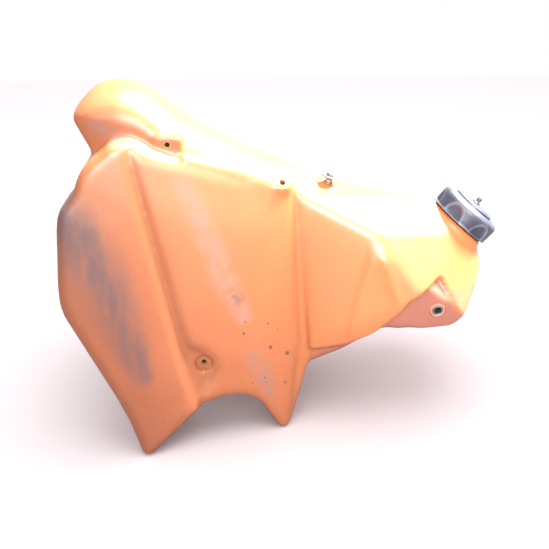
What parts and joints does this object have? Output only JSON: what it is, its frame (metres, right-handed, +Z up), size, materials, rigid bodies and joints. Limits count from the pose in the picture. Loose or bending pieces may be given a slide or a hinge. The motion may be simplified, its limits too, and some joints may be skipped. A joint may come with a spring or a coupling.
{
  "type": "fuel tank",
  "caption": "Moulded plastic fuel tank with a frame tunnel between two side wings, a narrow tail, a screw filler cap with vent, a seat stud and a fuel tap.",
  "frame": {"origin": "centre of the bounding box's base, on the plane the wing tips stand on", "axes": "+X towards the front of the tank, -Y the bike's right-hand side, +Z up as the tank stands"},
  "size_m": [0.4848, 0.279, 0.388],
  "materials": {
    "shell": "translucent moulded polyethylene, scuffed",
    "black_plastic": "satin moulded plastic",
    "rubber": "matt",
    "grommet": "moulded, stained",
    "brass": "tarnished",
    "steel": "zinc plated",
    "alloy": "die cast",
    "strainer": "fine mesh"
  },
  "bodies": {
    "tank": {"tank_shell": "shell", "wing_insert_right": "brass", "wing_insert_left": "brass", "tail_insert_rear_right": "brass", "tail_insert_rear_left": "brass", "tail_insert_front_right": "brass", "tail_insert_front_left": "brass", "front_grommet_right": "grommet", "front_grommet_left": "grommet", "front_bush_right": "steel", "front_bush_left": "steel", "stud_insert": "brass", "stud_collar": "steel", "stud_washer": "steel", "stud_bolt": "steel", "tap_seal": "rubber", "tap_body": "alloy", "tap_wave_washer": "steel", "tap_plate": "steel", "tap_strainer": "strainer", "tap_insert_upper": "brass", "tap_insert_lower": "brass", "tap_screw_upper": "steel", "tap_screw_lower": "steel", "tap_plate_screw_upper": "steel", "tap_plate_screw_lower": "steel"},
    "gasket": {"cap_gasket": "rubber"},
    "cap": {"cap_shell": "black_plastic", "cap_top_disc": "black_plastic", "cap_nipple": "black_plastic", "vent_cage": "black_plastic"},
    "vent_ball": {"vent_ball": "steel"},
    "tap_lever": {"tap_lever": "black_plastic"}
  },
  "joints": [
    {"name": "cap_lift", "type": "slide", "parent": "tank", "child": "gasket", "axis": [0.6293, 0, 0.7771], "range_m": [0, 0.006]},
    {"name": "cap_turn", "type": "hinge", "parent": "gasket", "child": "cap", "pos_m": [0.2006, 0, 0.223], "axis": [0.6293, 0, 0.7771], "range_deg": [0, 540]},
    {"name": "vent_ball_lift", "type": "slide", "parent": "cap", "child": "vent_ball", "axis": [0.6293, 0, 0.7771], "range_m": [0, 0.0016]},
    {"name": "tap_turn", "type": "hinge", "parent": "tank", "child": "tap_lever", "pos_m": [-0.1284, 0.05, 0.1], "axis": [0, -1, 0], "range_deg": [-90, 90]}
  ],
  "couplings": [
    {"joint": "cap_lift", "follows": "cap_turn", "m_per_rad": 0.00063662}
  ]
}
